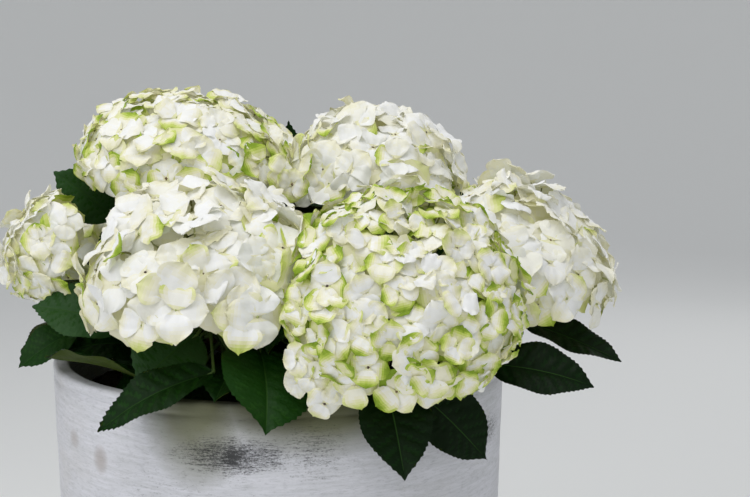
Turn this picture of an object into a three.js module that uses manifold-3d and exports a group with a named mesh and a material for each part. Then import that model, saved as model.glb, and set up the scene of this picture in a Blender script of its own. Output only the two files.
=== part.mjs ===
// Potted mophead hydrangea: a round whitewashed pot filled with soil, a low
// woody foot, ten canes, the leafy shoots they carry and ten domed flower heads.
// Millimetres, +Z up, front of the pot toward -Y, origin at the middle of the
// flat underside of the pot.
import * as THREE from 'three';
import { mergeVertices } from 'three/addons/utils/BufferGeometryUtils.js';
import Module from 'manifold-3d';

const wasm = await Module();
wasm.setup();

// Clearance left between pieces that touch
const GAP = 0.3;

// Pot
const POT_HEIGHT = 380;
const POT_RADIUS = 200;
const POT_FOOT_RADIUS = 191;
const POT_WALL = 14;
const POT_FLOOR = 18;
const RIM_ROUND = 3.5;
const POT_SIDES = 48;

// Soil
const SOIL_TOP = 348;
const SOIL_MOUND = 4;
const SOIL_FLAT_RADIUS = 60;

// Woody foot and canes
const FOOT_RADIUS = 36;
const FOOT_HEIGHT = 26;
const FOOT_STUB = 30;
const CANE_BASE_R = 6.0;
const CANE_TIP_R = 4.4;
const SHOOT_BASE_R = 3.9;
const SHOOT_TIP_R = 3.3;
const CANE_SHARE = 0.42;

// Flower heads
const CORE_SCALE = 0.91;
const HEAD_POLAR = 101;
const FLORET_SEAT = 0.96;
const NECK_DROP = 0.45;
const NECK_LENGTH = 24;

// Leaves
const LEAF_THICK = 1 / 48;
const LEAF_CLEAR = 0.45;
const LEAF_REACH = 330;
const PETIOLE_R = 1.9;
// In front of this depth only the set leaves hang over the rim of the pot
const FRONT_HALF = 40;
const FRONT_LIFT = 6;

const SEED = 20731;

// One entry per shoot: centre of the head, its radius, its half height along
// its own axis, the lean of that axis from vertical, the compass direction of
// the lean (0 = +X, 90 = +Y), floret radius, number of florets, colours.
const SHOOTS = {
  front_left: { c: [-66, -128, 473], a: 97, h: 61, lean: 34, az: -104, r: 25, n: 20, tint: 0xebe9e0 },
  front_right: { c: [95, -168, 455], a: 98, h: 72, lean: 50, az: -84, r: 21, n: 22, tint: 0xdde2bd },
  top_left: { c: [-84, 20, 553], a: 99, h: 63, lean: 14, az: -75, r: 24, n: 20, tint: 0xe6e5cb },
  side_left: { c: [-187, -48, 482], a: 54, h: 48, lean: 50, az: 205, r: 17, n: 14, tint: 0xe8e7d6 },
  top_right: { c: [88, 10, 543], a: 79, h: 58, lean: 20, az: -72, r: 22, n: 17, tint: 0xebe8dc },
  side_right: { c: [215, -50, 474], a: 89, h: 57, lean: 50, az: -40, r: 24, n: 17, tint: 0xece9de },
  rear_right: { c: [184, 96, 458], a: 75, h: 56, lean: 46, az: 28, r: 22, n: 15, tint: 0xe8e7d4 },
  back_right: { c: [80, 178, 472], a: 79, h: 60, lean: 44, az: 70, r: 23, n: 15, tint: 0xe9e7d8 },
  back_left: { c: [-62, 180, 480], a: 82, h: 60, lean: 42, az: 110, r: 23, n: 16, tint: 0xe6e6cf },
  rear_left: { c: [-166, 92, 456], a: 70, h: 54, lean: 50, az: 155, r: 21, n: 14, tint: 0xe9e8da },
};

// Flowerless leafy shoots that fill the middle: tip, lean and its direction
const SPROUTS = {
  middle_front: { c: [16, -46, 478], lean: 10, az: -60 },
  middle_back: { c: [2, 100, 500], lean: 10, az: 90 },
};

// Leaves with a place of their own around the front and sides: shoot that
// carries it, base of the blade, tip, width, direction the upper face looks,
// height of its lengthwise arch as a share of its length.
const SET_LEAVES = [
  ['top_left', [-140, 20, 492], [-203, 7, 541], 40, [-0.3, -0.85, 0.45], 0.06],
  ['side_left', [-128, -104, 424], [-203, -96, 439], 58, [-0.2, -0.58, 0.79], 0.06],
  ['side_left', [-160, -62, 420], [-214, -72, 392], 50, [-0.55, -0.6, 0.55], 0.07],
  ['front_left', [-106, -148, 399], [-194, -100, 399], 58, [-0.1, -0.2, 0.97], 0.07],
  ['front_left', [-66, -138, 424], [-112, -164, 389], 70, [-0.3, -0.8, 0.5], 0.07],
  ['front_left', [-52, -174, 407], [-141, -190, 361], 48, [-0.15, -0.55, 0.8], 0.08],
  ['front_left', [-16, -152, 415], [-10, -226, 366], 84, [0.0, -0.85, 0.52], 0.07],
  ['front_right', [80, -178, 402], [95, -224, 323], 64, [0.2, -0.88, 0.42], 0.04],
  ['front_right', [108, -160, 402], [166, -168, 326], 62, [0.5, -0.75, 0.45], 0.05],
  ['side_right', [168, -112, 398], [259, -128, 374], 54, [0.1, -0.75, 0.65], 0.07],
  ['side_right', [204, -46, 391], [291, -80, 382], 53, [0.15, -0.42, 0.9], 0.03],
  ['middle_back', [12, 104, 505], [10, 87, 581], 30, [0.1, -0.95, 0.2], 0.02],
  ['side_left', [-100, -60, 396], [-176, -68, 394], 58, [-0.1, -0.35, 0.93], 0.07],
  ['front_left', [-34, -136, 396], [-50, -205, 386], 46, [0.0, -0.3, 0.95], 0.08],
  ['front_left', [-72, -92, 374], [-139, -106, 369], 62, [-0.1, -0.35, 0.93], 0.06],
  ['front_left', [-44, -112, 376], [-84, -152, 368], 50, [-0.1, -0.35, 0.93], 0.06],
  ['middle_front', [22, -124, 384], [34, -176, 372], 60, [0.05, -0.35, 0.93], 0.06],
];

function randomFrom(seed) {
  let state = seed >>> 0;
  return () => {
    state = (state + 0x6d2b79f5) >>> 0;
    let t = state;
    t = Math.imul(t ^ (t >>> 15), t | 1);
    t ^= t + Math.imul(t ^ (t >>> 7), t | 61);
    return ((t ^ (t >>> 14)) >>> 0) / 4294967296;
  };
}

const rad = (degrees) => (degrees * Math.PI) / 180;
const vec = (p) => new THREE.Vector3(p[0], p[1], p[2]);

// Right-handed axes with the third along w
function axesAlong(w) {
  const side = new THREE.Vector3(0, 0, 1).cross(w);
  if (side.lengthSq() < 1e-8) {
    side.set(1, 0, 0);
  }
  side.normalize();
  return [side, w.clone().cross(side), w];
}

function solidOf(points, triangles) {
  const vertProperties = new Float32Array(points.length * 3);
  points.forEach((p, i) => p.toArray(vertProperties, i * 3));
  const triVerts = new Uint32Array(triangles.flat());
  return new wasm.Manifold(new wasm.Mesh({ numProp: 3, vertProperties, triVerts }));
}

function solidOfGeometry(geometry) {
  const plain = geometry.clone();
  plain.deleteAttribute('normal');
  plain.deleteAttribute('uv');
  const merged = mergeVertices(plain, 1e-4);
  const position = merged.attributes.position;
  const points = [];
  for (let i = 0; i < position.count; i += 1) {
    points.push(new THREE.Vector3().fromBufferAttribute(position, i));
  }
  const index = merged.index.array;
  const triangles = [];
  for (let i = 0; i < index.length; i += 3) {
    const [a, b, c] = [index[i], index[i + 1], index[i + 2]];
    if (a !== b && b !== c && c !== a) {
      triangles.push([a, b, c]);
    }
  }
  return solidOf(points, triangles);
}

// Largest body of a fused solid, without inner shells or scraps
function oneBody(solid) {
  const bodies = solid.decompose();
  bodies.sort((p, q) => q.volume() - p.volume());
  return bodies[0].simplify(0.03);
}

// Closed skin through rings of equal length, with an end point at each end
function skin(rings, start, end) {
  const n = rings[0].length;
  const points = [...rings.flat(), start, end];
  const s = points.length - 2;
  const e = points.length - 1;
  const triangles = [];
  for (let i = 0; i < n; i += 1) {
    const j = (i + 1) % n;
    triangles.push([s, j, i]);
    for (let k = 0; k + 1 < rings.length; k += 1) {
      const a = k * n;
      const b = a + n;
      triangles.push([a + i, a + j, b + j], [a + i, b + j, b + i]);
    }
    const last = (rings.length - 1) * n;
    triangles.push([e, last + i, last + j]);
  }
  return solidOf(points, triangles);
}

// Tapering limb along a curve, flat at both ends
function limb(curve, t0, t1, r0, r1, sides, steps) {
  const rings = [];
  const up = new THREE.Vector3(0.31, 0.17, 0.93).normalize();
  for (let k = 0; k <= steps; k += 1) {
    const s = k / steps;
    const t = t0 + (t1 - t0) * s;
    const centre = curve.getPoint(t);
    const along = curve.getTangent(t);
    const side = up.clone().cross(along).normalize();
    const lift = along.clone().cross(side);
    const radius = r0 + (r1 - r0) * s;
    const ring = [];
    for (let i = 0; i < sides; i += 1) {
      const a = (2 * Math.PI * i) / sides;
      const p = centre.clone().addScaledVector(side, radius * Math.cos(a));
      ring.push(p.addScaledVector(lift, radius * Math.sin(a)));
    }
    rings.push(ring);
  }
  return skin(rings, curve.getPoint(t0), curve.getPoint(t1));
}

function lathe(profile, sides) {
  const points = profile.map(([x, y]) => new THREE.Vector2(x, y));
  const geometry = new THREE.LatheGeometry(points, sides);
  geometry.rotateX(Math.PI / 2);
  const solid = solidOfGeometry(geometry);
  return solid.volume() < 0 ? solidOfGeometry(flip(geometry)) : solid;
}

function flip(geometry) {
  const index = geometry.index.array;
  for (let i = 0; i < index.length; i += 3) {
    [index[i], index[i + 1]] = [index[i + 1], index[i]];
  }
  return geometry;
}

// Inner radius of the pot at a height
function potInside(z) {
  return POT_FOOT_RADIUS + ((POT_RADIUS - POT_FOOT_RADIUS) * z) / POT_HEIGHT - POT_WALL;
}

function makePot() {
  const foot = 3;
  return lathe([
    [0, 0],
    [POT_FOOT_RADIUS - foot, 0],
    [POT_FOOT_RADIUS, foot],
    [POT_RADIUS, POT_HEIGHT - RIM_ROUND],
    [POT_RADIUS - RIM_ROUND * 0.3, POT_HEIGHT - RIM_ROUND * 0.3],
    [POT_RADIUS - RIM_ROUND, POT_HEIGHT],
    [potInside(POT_HEIGHT) + RIM_ROUND * 0.6, POT_HEIGHT],
    [potInside(POT_HEIGHT), POT_HEIGHT - RIM_ROUND * 0.6],
    [potInside(POT_FLOOR), POT_FLOOR],
    [0, POT_FLOOR],
  ], POT_SIDES);
}

function makeSoil() {
  return lathe([
    [0, POT_FLOOR + GAP],
    [potInside(POT_FLOOR + GAP) - GAP, POT_FLOOR + GAP],
    [potInside(SOIL_TOP - SOIL_MOUND) - GAP, SOIL_TOP - SOIL_MOUND],
    [SOIL_FLAT_RADIUS, SOIL_TOP],
    [0, SOIL_TOP],
  ], POT_SIDES);
}

// Everything that follows from the tables for one shoot
function layOut([name, spec], index) {
  const centre = vec(spec.c);
  const lean = rad(spec.lean);
  const az = rad(spec.az);
  const w = new THREE.Vector3(
    Math.sin(lean) * Math.cos(az),
    Math.sin(lean) * Math.sin(az),
    Math.cos(lean),
  );
  const flowers = name in SHOOTS;
  const drop = flowers ? NECK_DROP * spec.h + NECK_LENGTH : 0;
  const neck = centre.clone().addScaledVector(w, -drop);
  const away = Math.atan2(spec.c[1], spec.c[0]);
  const inner = !flowers || spec.c[2] > 520;
  const out = new THREE.Vector3(Math.cos(away), Math.sin(away), 0);
  const rise = rad(inner ? 72 : 40);
  const first = out.clone().multiplyScalar(Math.cos(rise));
  first.z = Math.sin(rise);
  const root = out.clone().multiplyScalar(inner ? 11 : 14);
  root.z = SOIL_TOP + GAP + (inner ? 10 : 8);
  const start = root.clone().addScaledVector(first, FOOT_STUB);
  const reach = start.distanceTo(neck) * 0.38;
  const curve = new THREE.CubicBezierCurve3(
    start.clone().addScaledVector(first, GAP),
    start.clone().addScaledVector(first, reach),
    neck.clone().addScaledVector(w, -reach),
    neck.clone().addScaledVector(w, -GAP),
  );
  return { name, index, spec, flowers, centre, w, frame: axesAlong(w), out, neck, root, start, curve };
}

const plans = Object.entries({ ...SHOOTS, ...SPROUTS }).map(layOut);

// How far out of a head's dome a point lies: 1 on its surface
function reachIn(plan, point) {
  const d = point.clone().sub(plan.centre);
  const axial = d.dot(plan.w);
  const radial = Math.sqrt(Math.max(0, d.lengthSq() - axial * axial));
  return Math.hypot(axial / plan.spec.h, radial / plan.spec.a);
}

// Planes between neighbouring heads; a head keeps to its own side of each
function wallsOf(plan) {
  const walls = [];
  for (const other of plans) {
    if (other === plan || !other.flowers) {
      continue;
    }
    const line = other.centre.clone().sub(plan.centre);
    const span = line.length();
    if (span > plan.spec.a + other.spec.a + 10) {
      continue;
    }
    let low = 0;
    let high = 1;
    for (let k = 0; k < 40; k += 1) {
      const mid = (low + high) / 2;
      const point = plan.centre.clone().addScaledVector(line, mid);
      if (reachIn(plan, point) < reachIn(other, point)) {
        low = mid;
      } else {
        high = mid;
      }
    }
    const normal = line.clone().multiplyScalar(1 / span);
    walls.push({ normal, offset: normal.dot(plan.centre) + low * span - GAP / 2 });
  }
  return walls;
}

// Smaller dome that the florets stand out of, closed below toward the neck
function headCore(plan) {
  const { spec, centre, frame } = plan;
  const [u, v, w] = frame;
  const sides = 12;
  const rings = [];
  for (const polar of [HEAD_POLAR - 4, 74, 40]) {
    const r = CORE_SCALE * spec.a * Math.sin(rad(polar));
    const z = CORE_SCALE * spec.h * Math.cos(rad(polar));
    const ring = [];
    for (let i = 0; i < sides; i += 1) {
      const a = (2 * Math.PI * i) / sides;
      const p = centre.clone().addScaledVector(u, r * Math.cos(a));
      ring.push(p.addScaledVector(v, r * Math.sin(a)).addScaledVector(w, z));
    }
    rings.push(ring);
  }
  const under = centre.clone().addScaledVector(w, -NECK_DROP * spec.h);
  const top = centre.clone().addScaledVector(w, CORE_SCALE * spec.h);
  return skin(rings, under, top);
}

// Four-lobed floret: shallow funnel whose point is sunk in the core
function floret(seat, normal, spin, radius, depth, cup) {
  const [u, v, w] = axesAlong(normal);
  const rim = [];
  for (let lobe = 0; lobe < 4; lobe += 1) {
    const lift = cup + (lobe % 2 ? 1.5 : -1.5);
    for (const [turn, size, rise] of [[-22, 0.97, 1], [22, 0.97, 1], [45, 0.62, 0.2]]) {
      const a = spin + rad(lobe * 90 + turn);
      const p = seat.clone().addScaledVector(u, radius * size * Math.cos(a));
      rim.push(p.addScaledVector(v, radius * size * Math.sin(a)).addScaledVector(w, lift * rise));
    }
  }
  return {
    points: rim,
    solid: skin([rim], seat.clone().addScaledVector(w, -depth), seat),
  };
}

function makeHead(plan) {
  const { spec, centre, frame, index } = plan;
  const [u, v, w] = frame;
  const random = randomFrom(SEED + 101 * index);
  const walls = wallsOf(plan);
  const pieces = [];
  let core = headCore(plan);
  for (const wall of walls) {
    core = core.trimByPlane(wall.normal.clone().negate().toArray(), -wall.offset + 3);
  }
  pieces.push(core);
  const neckTop = centre.clone().addScaledVector(w, -0.2 * spec.h);
  pieces.push(limb(new THREE.LineCurve3(plan.neck, neckTop), 0, 1, 3.4, 4.2, 5, 1));
  const cap = 1 - Math.cos(rad(HEAD_POLAR));
  for (let k = 0; k < spec.n; k += 1) {
    const polar = Math.acos(1 - (cap * (k + 0.4)) / spec.n) + (random() - 0.5) * 0.06;
    const around = k * 2.39996323 + (random() - 0.5) * 0.12;
    const spin = random() * Math.PI;
    const tilt = new THREE.Vector3(random() - 0.5, random() - 0.5, random() - 0.5);
    const size = spec.r * (0.92 + 0.16 * random());
    const cup = (random() - 0.5) * 4;
    const across = u.clone().multiplyScalar(Math.cos(around)).addScaledVector(v, Math.sin(around));
    const seat = centre.clone()
      .addScaledVector(across, FLORET_SEAT * spec.a * Math.sin(polar))
      .addScaledVector(w, FLORET_SEAT * spec.h * Math.cos(polar));
    const normal = across.clone().multiplyScalar(Math.sin(polar) / spec.a)
      .addScaledVector(w, Math.cos(polar) / spec.h)
      .normalize()
      .addScaledVector(tilt, 0.34)
      .normalize();
    const depth = (1 - CORE_SCALE) * (spec.a * Math.sin(polar) ** 2 + spec.h * Math.cos(polar) ** 2) + 5;
    for (const shrink of [1, 0.82, 0.66]) {
      const { points, solid } = floret(seat, normal, spin, size * shrink, depth, cup);
      const inside = points.every((p) => walls.every((m) => p.dot(m.normal) < m.offset));
      if (inside) {
        pieces.push(solid);
        break;
      }
    }
  }
  return oneBody(wasm.Manifold.union(pieces));
}

function makeFoot() {
  const base = lathe([
    [0, 0],
    [FOOT_RADIUS - 2, 0],
    [FOOT_RADIUS, FOOT_HEIGHT * 0.25],
    [FOOT_RADIUS * 0.86, FOOT_HEIGHT * 0.6],
    [FOOT_RADIUS * 0.45, FOOT_HEIGHT * 0.92],
    [0, FOOT_HEIGHT],
  ], 10).translate([0, 0, SOIL_TOP + GAP]);
  const stubs = plans.map((plan) => {
    const line = new THREE.LineCurve3(plan.root, plan.start);
    return limb(line, 0, 1, CANE_BASE_R + 1.5, CANE_BASE_R, 5, 1);
  });
  return oneBody(wasm.Manifold.union([base, ...stubs]));
}

// Leaf with a lens section, folded along its midrib and arched lengthwise; its
// stalk runs from the middle of the stem into the base of the blade
function leafParts(from, base, tip, face, width, arch, fold) {
  const along = tip.clone().sub(base);
  const length = along.length();
  along.normalize();
  const side = along.clone().cross(face).normalize();
  const up = side.clone().cross(along);
  const half = (length * LEAF_THICK) / 2 + 0.35;
  const mid = (t) => base.clone()
    .addScaledVector(along, length * t)
    .addScaledVector(up, arch * 4 * t * (1 - t));
  const ringAt = (m, right, lift, w, thick, rise) => [
    m.clone().addScaledVector(right, -w).addScaledVector(lift, rise),
    m.clone().addScaledVector(lift, thick),
    m.clone().addScaledVector(right, w).addScaledVector(lift, rise),
    m.clone().addScaledVector(lift, -thick),
  ];
  const rings = [ringAt(base, side, up, PETIOLE_R * 0.85, PETIOLE_R * 0.85, 0)];
  for (const [t, share] of [[0.2, 0.76], [0.46, 1], [0.75, 0.62]]) {
    const w = (width / 2) * share;
    rings.push(ringAt(mid(t), side, up, w, half, fold * w));
  }
  const run = base.clone().sub(from).normalize();
  const right = run.clone().cross(up).normalize();
  const stalk = ringAt(from, right, right.clone().cross(run), PETIOLE_R, PETIOLE_R, 0);
  return {
    blade: skin(rings, base, tip),
    whole: skin([stalk, ...rings], from, tip),
  };
}

const heads = plans.filter((plan) => plan.flowers).map(makeHead);
const pot = makePot();
const soil = makeSoil();
const foot = makeFoot();
const canes = plans.map((plan) => limb(plan.curve, 0, CANE_SHARE, CANE_BASE_R, CANE_TIP_R, 5, 3));
const stems = plans.map((plan) => {
  const t0 = CANE_SHARE + (GAP * 1.05) / plan.curve.getLength();
  return limb(plan.curve, t0, 1, SHOOT_BASE_R, SHOOT_TIP_R, 5, 3);
});
const fixed = [pot, soil, foot, ...canes, ...heads];
const blades = plans.map(() => []);
const leaves = plans.map(() => []);

function boxesNear(p, q, margin) {
  const a = p.boundingBox();
  const b = q.boundingBox();
  return [0, 1, 2].every((k) => a.min[k] - margin < b.max[k] && b.min[k] - margin < a.max[k]);
}

function clearOf(solid, others) {
  return others.every((other) => !boxesNear(solid, other, LEAF_CLEAR)
    || solid.minGap(other, LEAF_CLEAR) >= LEAF_CLEAR);
}

// Adds a leaf to shoot k when it is clear of everything else
function tryLeaf(k, from, base, tip, face, width, arch, fold) {
  const { blade, whole } = leafParts(from, base, tip, face, width, arch, fold);
  if (Math.hypot(tip.x, tip.y) > LEAF_REACH) {
    return false;
  }
  const alien = [...fixed];
  plans.forEach((plan, i) => {
    if (i !== k) {
      alien.push(stems[i], ...leaves[i]);
    }
  });
  if (!clearOf(blade, [...blades[k], stems[k]]) || !clearOf(whole, alien)) {
    return false;
  }
  blades[k].push(blade);
  leaves[k].push(whole);
  return true;
}

for (const [name, base, tip, width, face, bow] of SET_LEAVES) {
  const k = plans.findIndex((plan) => plan.name === name);
  const b = vec(base);
  const t = vec(tip);
  let from = plans[k].curve.getPoint(CANE_SHARE + 0.05);
  for (let s = CANE_SHARE + 0.05; s < 0.97; s += 0.02) {
    const point = plans[k].curve.getPoint(s);
    if (point.distanceTo(b) < from.distanceTo(b)) {
      from = point;
    }
  }
  tryLeaf(k, from, b, t, vec(face), width, b.distanceTo(t) * bow, 0.16);
}

// Opposite pairs down each shoot, every pair turned a quarter from the last.
// A leaf in the way is tried smaller, flatter or swung aside, then given up.
const NODES = [0.95, 0.82, 0.69, 0.57, 0.47];
const TRIES = [];
for (const size of [1, 0.84, 0.68]) {
  for (const swing of [0, 0.35, -0.35]) {
    for (const drop of [0.6, 0.4, 0.2, 0, -0.25]) {
      TRIES.push([size, swing, drop]);
    }
  }
}

function placePair(plan, k, pair) {
  const t = NODES[pair];
  const random = randomFrom(SEED + 977 * k + 31 * pair);
  const node = plan.curve.getPoint(t);
  const along = plan.curve.getTangent(t);
  const [u, v] = axesAlong(along);
  const turn = Math.atan2(plan.out.dot(v), plan.out.dot(u)) + (pair % 2 ? 0 : Math.PI / 2);
  for (const half of [0, Math.PI]) {
    const draw = [random(), random(), random(), random()];
    for (const [size, swing, drop] of TRIES) {
      const a = turn + half + swing + 0.4 * (draw[3] - 0.5);
      const across = u.clone().multiplyScalar(Math.cos(a)).addScaledVector(v, Math.sin(a));
      const length = (100 + 26 * draw[0]) * size;
      const aim = across.clone().addScaledVector(along, 0.3);
      aim.z -= drop + 0.12 * draw[1];
      aim.normalize();
      const base = node.clone().addScaledVector(across, 15 + 9 * draw[2]);
      base.z += 4;
      const tip = base.clone().addScaledVector(aim, length);
      const face = new THREE.Vector3(0, 0, 1).addScaledVector(across, 0.3 + drop * 0.5);
      const width = length * (0.66 + 0.1 * draw[2]);
      const low = tip.y < FRONT_HALF && tip.z < POT_HEIGHT + FRONT_LIFT;
      if (!low && tryLeaf(k, node, base, tip, face, width, length * 0.08, 0.14)) {
        break;
      }
    }
  }
}

NODES.forEach((t, pair) => plans.forEach((plan, k) => placePair(plan, k, pair)));

const foliage = plans.map((plan, k) => oneBody(
  wasm.Manifold.union([stems[k], ...leaves[k]]),
));

const model = new THREE.Group();
model.name = 'potted_hydrangea';

function addNode(name, solid, color, roughness) {
  const mesh = solid.getMesh();
  const geometry = new THREE.BufferGeometry();
  geometry.setAttribute('position', new THREE.BufferAttribute(new Float32Array(mesh.vertProperties), 3));
  geometry.setIndex(new THREE.BufferAttribute(new Uint32Array(mesh.triVerts), 1));
  geometry.computeVertexNormals();
  const material = new THREE.MeshStandardMaterial({ color, roughness, metalness: 0 });
  const node = new THREE.Mesh(geometry, material);
  node.name = name;
  model.add(node);
}

addNode('pot', pot, 0xc6c7cd, 0.8);
addNode('soil', soil, 0x35281d, 0.95);
addNode('stem_foot', foot, 0x6d5b40, 0.9);
plans.forEach((plan, k) => {
  addNode(`cane_${plan.name}`, canes[k], 0x77684a, 0.85);
  addNode(`leaves_${plan.name}`, foliage[k], 0x233d20, 0.6);
  if (plan.flowers) {
    addNode(`bloom_${plan.name}`, heads[k], plan.spec.tint, 0.7);
  }
});
export default model;
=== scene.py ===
from math import acos, atan2, cos, hypot, log, pi, radians, sin, sqrt

import bpy
import numpy as np
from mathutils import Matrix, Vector
from mathutils.kdtree import KDTree


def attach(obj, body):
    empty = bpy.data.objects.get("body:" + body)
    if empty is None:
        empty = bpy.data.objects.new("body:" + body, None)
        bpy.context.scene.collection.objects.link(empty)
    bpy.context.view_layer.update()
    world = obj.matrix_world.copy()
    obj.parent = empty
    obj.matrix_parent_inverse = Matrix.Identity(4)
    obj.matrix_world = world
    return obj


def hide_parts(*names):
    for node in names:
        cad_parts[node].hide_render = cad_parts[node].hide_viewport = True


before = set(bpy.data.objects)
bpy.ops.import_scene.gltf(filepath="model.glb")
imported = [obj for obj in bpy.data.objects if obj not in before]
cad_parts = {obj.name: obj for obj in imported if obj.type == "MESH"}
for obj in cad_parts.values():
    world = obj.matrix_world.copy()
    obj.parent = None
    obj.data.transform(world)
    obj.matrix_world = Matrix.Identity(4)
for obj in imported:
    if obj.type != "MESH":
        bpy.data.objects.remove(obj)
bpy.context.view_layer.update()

# Potted mophead hydrangea: round whitewashed pot, soil, woody foot and canes,
# serrated leaves and ten heads of four-lobed florets. Tables and lengths are in
# millimetres, as in the part's source, and every mesh is scaled to metres.
# Colours are 8-bit values.
MM = 0.001
SEED = 20731
GAP = 0.3
UP = np.array([0.0, 0.0, 1.0])
ANY_TURN = 6.28
GOLDEN_ANGLE = 2.39996323

# Camera: place, turn toward +X and dip below level in degrees
CAMERA_AT = (0.0, -1320.5, 660.7)
CAMERA_YAW = 3.7
CAMERA_PITCH = 8.1

# Studio: name, place, aim, size and watts of each light, in metres, and the floor
LIGHTS = [
    ("sky_above", (-0.35, -0.55, 2.1), (0, -0.02, 0.45), 2.2, 20.5),
    ("window_left", (-1.9, -1.7, 1.2), (0, 0, 0.42), 1.6, 7.5),
    ("front_fill", (0.2, -2.6, 0.9), (0, 0, 0.45), 2.0, 2.6),
    ("window_back", (1.2, 2.0, 1.5), (0, 0, 0.42), 1.6, 6),
]
FLOOR_FLAT = 2600
FLOOR_CURVE = 1800

# Pot, with a line scribed under its lip as height and depth
POT_HEIGHT = 380
POT_RADIUS = 200
POT_FOOT = 191
POT_WALL = 14
RIM_ROUND = 3.5
FOOT_ROUND = 3
SCRIBED_LINE = [(367, 0), (368.2, 0.9), (369.4, 1.3), (370.6, 0.9), (371.8, 0), (374, 0)]

# Marks on the front of the pot: place across and up, half width, half height, peak.
# The painted shade stands for the shade under the leaves, darkest along the lip.
SMUDGES = [(-146, 321, 7, 14, 0.55), (-171, 330, 5, 9, 0.4)]
PAINTED_LEAF_SHADE = [(35, 390, 110, 56, 1.6), (-66, 378, 46, 72, 1.2)]
PAINTED_LIP_SHADE = [(2, 382, 92, 27, 0.85)]
RUBBED = [
    (-37, 338, 20, 13, 0.28),
    (-36, 339, 60, 21, 0.21),
    (24, 342, 40, 34, 0.12),
    (177, 329, 16, 18, 0.15),
]

# Soil, and the rings of a crumb on it as height and width
SOIL_TOP = 348
SOIL_MOUND = 4
SOIL_RADIUS = 184
CRUMB_RINGS = ((-1, 0.15), (-0.7, 0.8), (0.5, 0.9), (1, 0.2))

# Woody foot, its outline as shares of radius and height, and the canes on it
FOOT_RADIUS = 36
FOOT_HEIGHT = 26
FOOT_PROFILE = [
    (1.0, 0.0), (1.03, 0.12), (1.0, 0.25), (0.95, 0.42), (0.86, 0.6),
    (0.68, 0.78), (0.45, 0.92), (0.2, 0.99), (0.02, 1.0),
]
FOOT_STUB = 30
ROOT_FLARE = (2.2, 1.4, 0.9, 0.4)
CANE_BASE_R = 6
CANE_TIP_R = 4.4
CANE_SHARE = 0.42
CANE_KNOTS = (5, 13, 21)
UNDER_RELIEF = 0.97
BARK_STRENGTH = 0.055
# Green shoots: radius at both ends, and how strongly their curve bows
SHOOT_BASE_R = 3.9
SHOOT_TIP_R = 3.3
SHOOT_BOW = 0.38
# Shoots to the middle and the high heads start steeply, the rest low: rise in
# degrees, then how far out and up on the foot
HIGH_HEAD = 520
STEEP_START = (72, 11, 10)
LOW_START = (40, 14, 8)

# Shoots: centre of the head, its radius, half height along its own axis, lean of
# that axis, direction of the lean, reach of a floret, share of green, slot
SHOOTS = {
    "front_left": ((-66, -128, 473), 97, 61, 34, -104, 24.5, 0.17, "petal_white"),
    "front_right": ((95, -168, 455), 98, 72, 50, -84, 16.8, 0.64, "petal_lime"),
    "top_left": ((-84, 20, 553), 99, 63, 14, -75, 20, 0.42, "petal_cream"),
    "side_left": ((-187, -48, 482), 54, 48, 50, 205, 17.5, 0.33, "petal_white"),
    "top_right": ((88, 10, 543), 79, 58, 20, -72, 23, 0.14, "petal_white"),
    "side_right": ((215, -50, 474), 89, 57, 50, -40, 23, 0.15, "petal_white"),
    "rear_right": ((184, 96, 458), 75, 56, 46, 28, 21, 0.34, "petal_cream"),
    "back_right": ((80, 178, 472), 79, 60, 44, 70, 22.5, 0.2, "petal_white"),
    "back_left": ((-62, 180, 480), 82, 60, 42, 110, 21, 0.40, "petal_cream"),
    "rear_left": ((-166, 92, 456), 70, 54, 50, 155, 20, 0.28, "petal_white"),
}
# Flowerless leafy shoots that fill the middle: tip, lean, direction of the lean
SPROUTS = {
    "middle_front": ((16, -46, 478), 10, -60),
    "middle_back": ((2, 100, 500), 10, 90),
}

# Where a head is bare: no floret sits beyond these planes (normal, offset)
BARE = {
    "side_left": [((1, 0, 0), -168), ((0.77, 0, 0.64), 194)],
    "front_left": [((0, 0, -1), -438)],
    "front_right": [((0, 0, -1), -394)],
    "side_right": [((0, 0, -1), -436)],
    "top_left": [((-0.6, 0, -0.8), -320)],
}
# Heads whose florets sit deeper, or off the dome as a whole
EXTRA_INSET = {"side_left": 1.5, "top_left": 1.5, "top_right": 2, "side_right": 1.5}
SHIFT = {"side_right": (7, 0, -8), "top_left": (1, 0, -2)}
# Heads with a row of draws of their own
OWN_DRAW = {"top_left": 3000}
# Heads greener on one side: its direction, where it starts and is full, how much.
# On front_right it runs right and down, and the green low on the head also paints shade.
GREEN_AND_SHADE_SIDE = {"front_right": ((0.8, 0, -0.6), 20, 85, 0.75)}
# Florets with a place of their own: shoot, seat, way it faces, reach, share of green
STRAY_FLORETS = [
    ("front_right", (13, -213, 419), (-0.45, -0.88, 0.15), 14.5, 0.22),
    ("front_right", (24, -218, 405), (-0.2, -0.97, 0.1), 14.5, 0.22),
    ("front_right", (14, -208, 401), (-0.6, -0.78, -0.1), 14.5, 0.22),
    ("front_right", (33, -220, 386), (0.1, -0.98, -0.2), 14.5, 0.22),
    ("front_right", (45, -219, 396), (0.3, -0.93, -0.2), 14.5, 0.22),
    # The last three sit in shade between the heads; their share of green paints that shade as
    # cream.
    ("top_left", (11, -38, 534), (0.35, -0.9, 0.1), 17, 0.35),
    ("top_left", (4, -36, 545), (0.55, -0.8, 0.25), 17, 0.35),
    ("top_right", (24, -32, 530), (-0.4, -0.9, 0.0), 17, 0.3),
]

# Heads: how far down florets reach, florets for each square of their reach, how
# far they tip, and the planes that part neighbouring heads
HEAD_POLAR = 101
DENSITY = 0.64
FLORET_TILT = 0.36
HEAD_TILT = {"front_left": 0.3, "top_left": 0.2}
LUMP = 0.014
GREEN_MIDDLE, GREEN_RIM = 0.55, 0.75
OVER_WALL = 0.3
WALL_RANGE = 10
WALL_REACH = 3
SOFT_WALL = 5
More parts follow.
